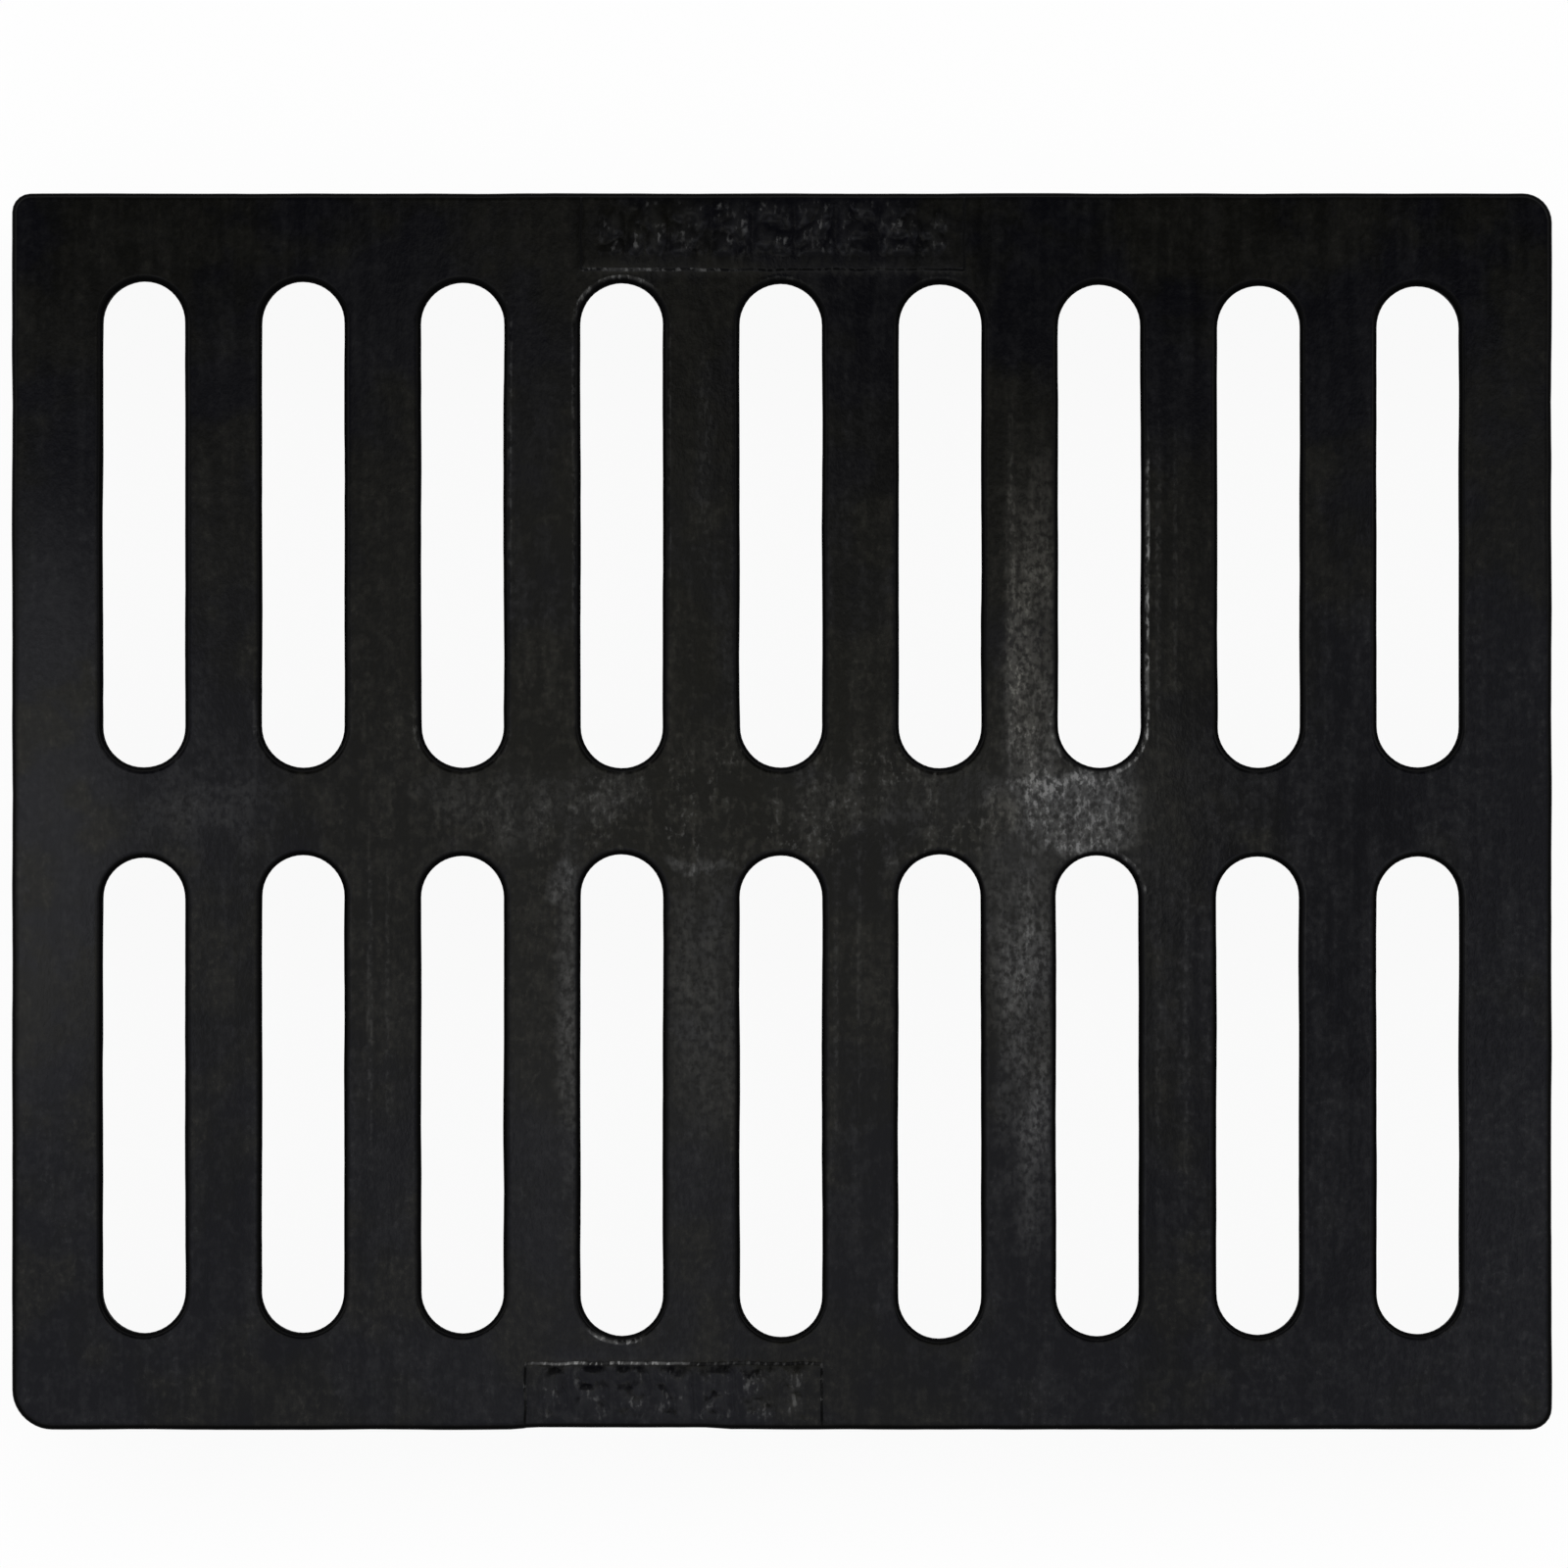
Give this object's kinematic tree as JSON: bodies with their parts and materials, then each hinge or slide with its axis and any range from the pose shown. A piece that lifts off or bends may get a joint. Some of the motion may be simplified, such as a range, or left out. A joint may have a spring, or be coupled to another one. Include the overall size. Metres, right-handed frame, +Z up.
{
  "type": "drain grate",
  "caption": "Rectangular cast-iron drain grate with two rows of round-ended slots, a skirt and webs below.",
  "frame": {"origin": "middle of the seat, the flat foot of the skirt, at the bottom of the part", "axes": "+X along the long side, +Y along the slots towards the back row, +Z up out of the tread"},
  "size_m": [0.498, 0.4, 0.0408],
  "materials": {
    "black_iron": "black bitumen paint on sand-cast iron, soft uneven sheen"
  },
  "bodies": {
    "root": {"grate": "black_iron"}
  },
  "joints": []
}
